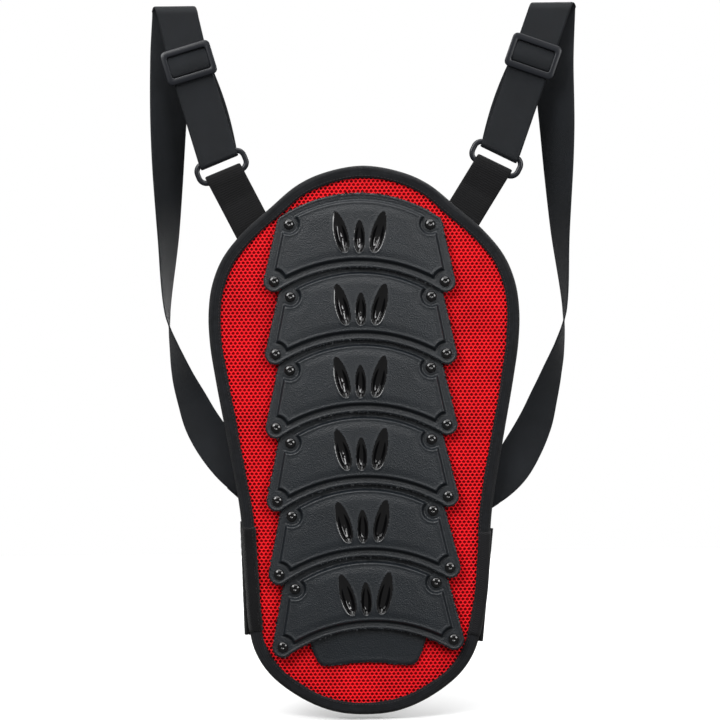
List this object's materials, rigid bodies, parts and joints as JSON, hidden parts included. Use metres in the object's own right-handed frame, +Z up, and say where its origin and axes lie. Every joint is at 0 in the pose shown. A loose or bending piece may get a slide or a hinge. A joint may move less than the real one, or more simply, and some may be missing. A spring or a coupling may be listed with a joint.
{
  "type": "back protector",
  "caption": "Padded back shield with overlapping moulded plates riveted over red mesh, shoulder straps with sliders and rings, and a folded waist belt.",
  "frame": {"origin": "on the lining's flat back face, at mid width, level with the middle of the fourth plate", "axes": "+Z up the back, +X to the right when facing the plates, plates face -Y, lining faces +Y towards the wearer"},
  "size_m": [0.4052, 0.0782, 0.6711],
  "materials": {
    "moulded_plate": "fine leather grain, semi gloss, with glossy vent recesses",
    "rivet": "glossy black dome",
    "foam": "closed-cell foam",
    "mesh_fabric": "open knitted spacer mesh",
    "lining": "knitted lining",
    "binding_tape": "woven binding tape",
    "webbing": "woven webbing",
    "buckle_plastic": "moulded satin black",
    "belt_elastic": "ribbed elastic",
    "fastener_pile": "hook-and-loop pile"
  },
  "bodies": {
    "mid_back": {"plate_4": "moulded_plate", "rivet_4_ul": "rivet", "rivet_4_ur": "rivet", "rivet_4_ll": "rivet", "rivet_4_lr": "rivet", "foam_4": "foam", "mesh_face": "mesh_fabric", "lining": "lining", "edge_binding": "binding_tape", "left_rear_strap": "webbing", "right_rear_strap": "webbing"},
    "row_3": {"plate_3": "moulded_plate", "rivet_3_ul": "rivet", "rivet_3_ur": "rivet", "rivet_3_ll": "rivet", "rivet_3_lr": "rivet", "foam_3": "foam"},
    "row_2": {"plate_2": "moulded_plate", "rivet_2_ul": "rivet", "rivet_2_ur": "rivet", "rivet_2_ll": "rivet", "rivet_2_lr": "rivet", "foam_2": "foam"},
    "row_1": {"plate_1": "moulded_plate", "rivet_1_ul": "rivet", "rivet_1_ur": "rivet", "rivet_1_ll": "rivet", "rivet_1_lr": "rivet", "foam_1": "foam"},
    "lower_back": {"plate_5": "moulded_plate", "rivet_5_ul": "rivet", "rivet_5_ur": "rivet", "rivet_5_ll": "rivet", "rivet_5_lr": "rivet", "plate_6": "moulded_plate", "rivet_6_ul": "rivet", "rivet_6_ur": "rivet", "rivet_6_ll": "rivet", "rivet_6_lr": "rivet", "tail_plate": "moulded_plate", "foam_lower": "foam", "belt_base": "belt_elastic"},
    "left_anchor": {"left_tab": "webbing"},
    "left_shoulder": {"left_ring": "buckle_plastic", "left_strap": "webbing", "left_return": "webbing"},
    "left_adjuster": {"left_slider": "buckle_plastic", "left_sleeve": "webbing"},
    "left_belt": {"left_wing": "fastener_pile"},
    "left_belt_end": {"left_wing_end": "fastener_pile"},
    "right_anchor": {"right_tab": "webbing"},
    "right_shoulder": {"right_ring": "buckle_plastic", "right_strap": "webbing", "right_return": "webbing"},
    "right_adjuster": {"right_slider": "buckle_plastic", "right_sleeve": "webbing"},
    "right_belt": {"right_wing": "belt_elastic"},
    "right_belt_end": {"right_wing_end": "belt_elastic", "hook_patch": "fastener_pile"}
  },
  "joints": [
    {"name": "back_flex", "type": "hinge", "parent": "mid_back", "child": "row_3", "pos_m": [0, -0.0065, 0.0308], "axis": [-1, 0, 0], "range_deg": [-3, 5], "stiffness_Nm_per_rad": 9, "deforming": ["mesh_face", "lining", "edge_binding"]},
    {"name": "row_2_flex", "type": "hinge", "parent": "row_3", "child": "row_2", "pos_m": [0, -0.0065, 0.0985], "axis": [-1, 0, 0], "range_deg": [-3, 5], "stiffness_Nm_per_rad": 9},
    {"name": "row_1_flex", "type": "hinge", "parent": "row_2", "child": "row_1", "pos_m": [0, -0.0065, 0.1662], "axis": [-1, 0, 0], "range_deg": [-3, 5], "stiffness_Nm_per_rad": 9},
    {"name": "lower_flex", "type": "hinge", "parent": "mid_back", "child": "lower_back", "pos_m": [0, -0.0065, -0.0369], "axis": [1, 0, 0], "range_deg": [-3, 5], "stiffness_Nm_per_rad": 9},
    {"name": "left_anchor_flex", "type": "hinge", "parent": "mid_back", "child": "left_anchor", "pos_m": [0, -0.0065, 0.0985], "axis": [-1, 0, 0], "range_deg": [-9, 15]},
    {"name": "left_strap_swing", "type": "hinge", "parent": "left_anchor", "child": "left_shoulder", "pos_m": [-0.12974, 0.00345, 0.26489], "axis": [-0.9272, 0, -0.3746], "range_deg": [-10, 30], "deforming": ["left_rear_strap"]},
    {"name": "left_slider_slide", "type": "slide", "parent": "left_shoulder", "child": "left_adjuster", "axis": [0.2807, 0, -0.9598], "range_m": [0, 0.06], "deforming": ["left_return"]},
    {"name": "left_belt_fold", "type": "hinge", "parent": "lower_back", "child": "left_belt", "pos_m": [-0.11641, 0.0042, -0.11603], "axis": [0.0384, 0, 0.9993], "range_deg": [0, 180]},
    {"name": "left_belt_tip", "type": "hinge", "parent": "left_belt", "child": "left_belt_end", "pos_m": [-0.00949, 0.0067, -0.12014], "axis": [0.0384, 0, 0.9993], "range_deg": [-180, 0]},
    {"name": "right_anchor_flex", "type": "hinge", "parent": "mid_back", "child": "right_anchor", "pos_m": [0, -0.0065, 0.0985], "axis": [-1, 0, 0], "range_deg": [-9, 15]},
    {"name": "right_strap_swing", "type": "hinge", "parent": "right_anchor", "child": "right_shoulder", "pos_m": [0.12276, 0.00345, 0.2701], "axis": [-0.8949, 0, 0.4462], "range_deg": [-10, 30], "deforming": ["right_rear_strap"]},
    {"name": "right_slider_slide", "type": "slide", "parent": "right_shoulder", "child": "right_adjuster", "axis": [-0.3371, 0, -0.9415], "range_m": [0, 0.06], "deforming": ["right_return"]},
    {"name": "right_belt_fold", "type": "hinge", "parent": "lower_back", "child": "right_belt", "pos_m": [0.11641, 0.0042, -0.12497], "axis": [-0.0384, 0, -0.9993], "range_deg": [0, 180]},
    {"name": "right_belt_tip", "type": "hinge", "parent": "right_belt", "child": "right_belt_end", "pos_m": [0.00949, 0.0067, -0.12087], "axis": [-0.0384, 0, -0.9993], "range_deg": [-180, 0]}
  ],
  "couplings": [
    {"joint": "row_2_flex", "follows": "back_flex", "ratio": 1},
    {"joint": "row_1_flex", "follows": "back_flex", "ratio": 1},
    {"joint": "lower_flex", "follows": "back_flex", "ratio": 1},
    {"joint": "left_anchor_flex", "follows": "back_flex", "ratio": 3},
    {"joint": "left_belt_tip", "follows": "left_belt_fold", "ratio": -1},
    {"joint": "right_anchor_flex", "follows": "back_flex", "ratio": 3},
    {"joint": "right_belt_tip", "follows": "right_belt_fold", "ratio": -1}
  ]
}
